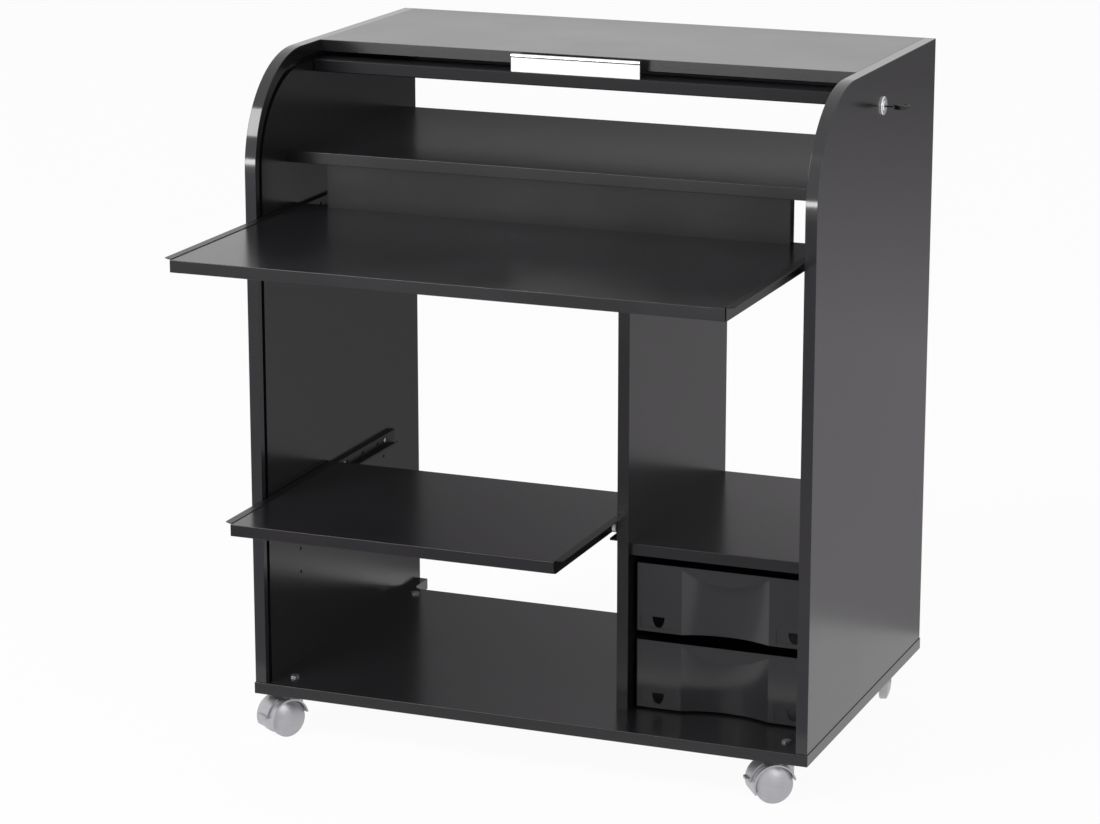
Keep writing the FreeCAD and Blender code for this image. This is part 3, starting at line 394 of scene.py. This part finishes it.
def studio_floor():
    """A pale floor that keeps a faint shadow and reads white to the camera and in reflections."""
    material = bare_material("pale_floor")
    tree = material.node_tree
    paper = add(tree, "ShaderNodeBsdfDiffuse", {"Color": linear("#f2f2f2")})
    white = add(tree, "ShaderNodeEmission", {"Color": linear("#ffffff"), "Strength": 1.0})
    path = add(tree, "ShaderNodeLightPath")
    seen = add(tree, "ShaderNodeMath", {0: path.outputs["Is Camera Ray"], 1: path.outputs["Is Glossy Ray"]},
               operation="ADD")
    share = add(tree, "ShaderNodeMath", {0: seen.outputs["Value"], 1: FLOOR_WHITE}, operation="MULTIPLY")
    mix = add(tree, "ShaderNodeMixShader", {0: share.outputs["Value"], 1: paper.outputs["BSDF"],
                                            2: white.outputs["Emission"]})
    add(tree, "ShaderNodeOutputMaterial", {"Surface": mix.outputs["Shader"]})
    far = FLOOR_REACH
    stage_sheet("studio_floor", [(-far, -far, 0), (far, -far, 0), (far, far, 0), (-far, far, 0)], material)


def only_in_reflections(sheet):
    """Hides a studio sheet from all but the sheen of the desk."""
    sheet.visible_camera = False
    sheet.visible_diffuse = False
    sheet.visible_shadow = False


def painted_reflection_wall():
    """A glowing sheet behind the desk that only the sheen sees: a painted reflection of shade, paler to the right
    and lower down.
    """
    left, right = cad_box[0].x - WALL_PAST_LEFT, cad_box[1].x + WALL_PAST_RIGHT
    behind = cad_box[1].y + WALL_GAP
    top = cad_box[1].z + WALL_RISE
    material = bare_material("painted_reflection_wall")
    tree = material.node_tree
    place = add(tree, "ShaderNodeTexCoord").outputs["Object"]
    apart = add(tree, "ShaderNodeSeparateXYZ", {"Vector": place})
    across = add(tree, "ShaderNodeMapRange", {"Value": apart.outputs["X"],
                                              "From Min": left, "From Max": right,
                                              "To Min": PAINTED_WALL_GLOW_LEFT, "To Max": PAINTED_WALL_GLOW_RIGHT})
    upward = add(tree, "ShaderNodeMapRange", {"Value": apart.outputs["Z"],
                                              "From Min": WALL_FALL_FROM, "From Max": WALL_FALL_TO,
                                              "To Min": 1.0, "To Max": PAINTED_WALL_GLOW_HIGH})
    tone = add(tree, "ShaderNodeMath", {0: across.outputs["Result"], 1: upward.outputs["Result"]},
               operation="MULTIPLY")
    # painted shade: an emission that only the desk's reflections see, darker to the left and higher up
    glow = add(tree, "ShaderNodeEmission", {"Color": linear("#fffbff"), "Strength": tone.outputs["Value"]})
    add(tree, "ShaderNodeOutputMaterial", {"Surface": glow.outputs["Emission"]})
    corners = [(left, behind, 0), (right, behind, 0), (right, behind, top), (left, behind, top)]
    only_in_reflections(stage_sheet("painted_reflection_wall", corners, material))


def painted_reflection_front():
    """A glowing sheet on the floor before the desk, seen only in the gloss: a painted reflection that makes the
    front edges mirror darker than the white behind.
    """
    material = bare_material("painted_reflection_front")
    tree = material.node_tree
    # painted shade: an even glow that only the desk's reflections see
    glow = add(tree, "ShaderNodeEmission", {"Color": linear("#fffbff"), "Strength": PAINTED_FRONT_GLOW})
    add(tree, "ShaderNodeOutputMaterial", {"Surface": glow.outputs["Emission"]})
    left, right = cad_box[0].x - FRONT_LEFT, cad_box[1].x
    near, far = cad_box[0].y, cad_box[0].y - FRONT_REACH
    z = FRONT_LIFT
    corners = [(left, far, z), (right, far, z), (right, near, z), (left, near, z)]
    only_in_reflections(stage_sheet("painted_reflection_front", corners, material))


def studio_world():
    """White surroundings for what the camera and the gloss see, and a plain soft fill for the rest."""
    world = bpy.data.worlds.new("studio")
    bpy.context.scene.world = world
    world.use_nodes = True
    tree = world.node_tree
    tree.nodes.clear()
    path = add(tree, "ShaderNodeLightPath")
    seen = add(tree, "ShaderNodeMath", {0: path.outputs["Is Camera Ray"], 1: path.outputs["Is Glossy Ray"]},
               operation="ADD")
    clear = add(tree, "ShaderNodeMath", {0: seen.outputs["Value"], 1: path.outputs["Is Transmission Ray"]},
                operation="ADD", use_clamp=True)
    strength = add(tree, "ShaderNodeMapRange", {"Value": clear.outputs["Value"],
                                                "To Min": ROOM_FILL, "To Max": 1.0})
    glow = add(tree, "ShaderNodeBackground", {"Color": linear("#ffffff"),
                                              "Strength": strength.outputs["Result"]})
    add(tree, "ShaderNodeOutputWorld", {"Surface": glow.outputs["Background"]})


def softbox(name, place, size, power):
    """A rectangular area lamp that faces the desk."""
    lamp = bpy.data.lights.new(name, "AREA")
    lamp.shape = "RECTANGLE"
    lamp.size, lamp.size_y = size
    lamp.energy = power
    holder = bpy.data.objects.new(name, lamp)
    bpy.context.scene.collection.objects.link(holder)
    holder.location = place
    holder.rotation_euler = (LAMP_AIM - place).to_track_quat("-Z", "Y").to_euler()


def studio_lamps():
    """A high key from the left, a low strip that lights the round edge bands, and a fill from the right."""
    for name, (place, size, power) in LAMPS.items():
        softbox(name, place, size, power)


def studio_camera():
    """The camera of the photo, without roll or shift, fitted to the desk's edges."""
    lens = bpy.data.cameras.new("photo_camera")
    lens.sensor_width = SENSOR_MM
    lens.lens = FOCAL_PX * SENSOR_MM / PHOTO_WIDTH
    lens.clip_end = CAMERA_FAR
    camera = bpy.data.objects.new("photo_camera", lens)
    bpy.context.scene.collection.objects.link(camera)
    camera.location = CORNER + CAMERA_FROM_CORNER
    camera.rotation_euler = (math.pi / 2 - CAMERA_DIP, 0, CAMERA_TURN)
    bpy.context.scene.camera = camera


bpy.context.scene.view_settings.view_transform = "Standard"
dress_cad_nodes()
domed_wheels()
full_height_upstand()
studio_floor()
painted_reflection_wall()
painted_reflection_front()
studio_world()
studio_lamps()
studio_camera()
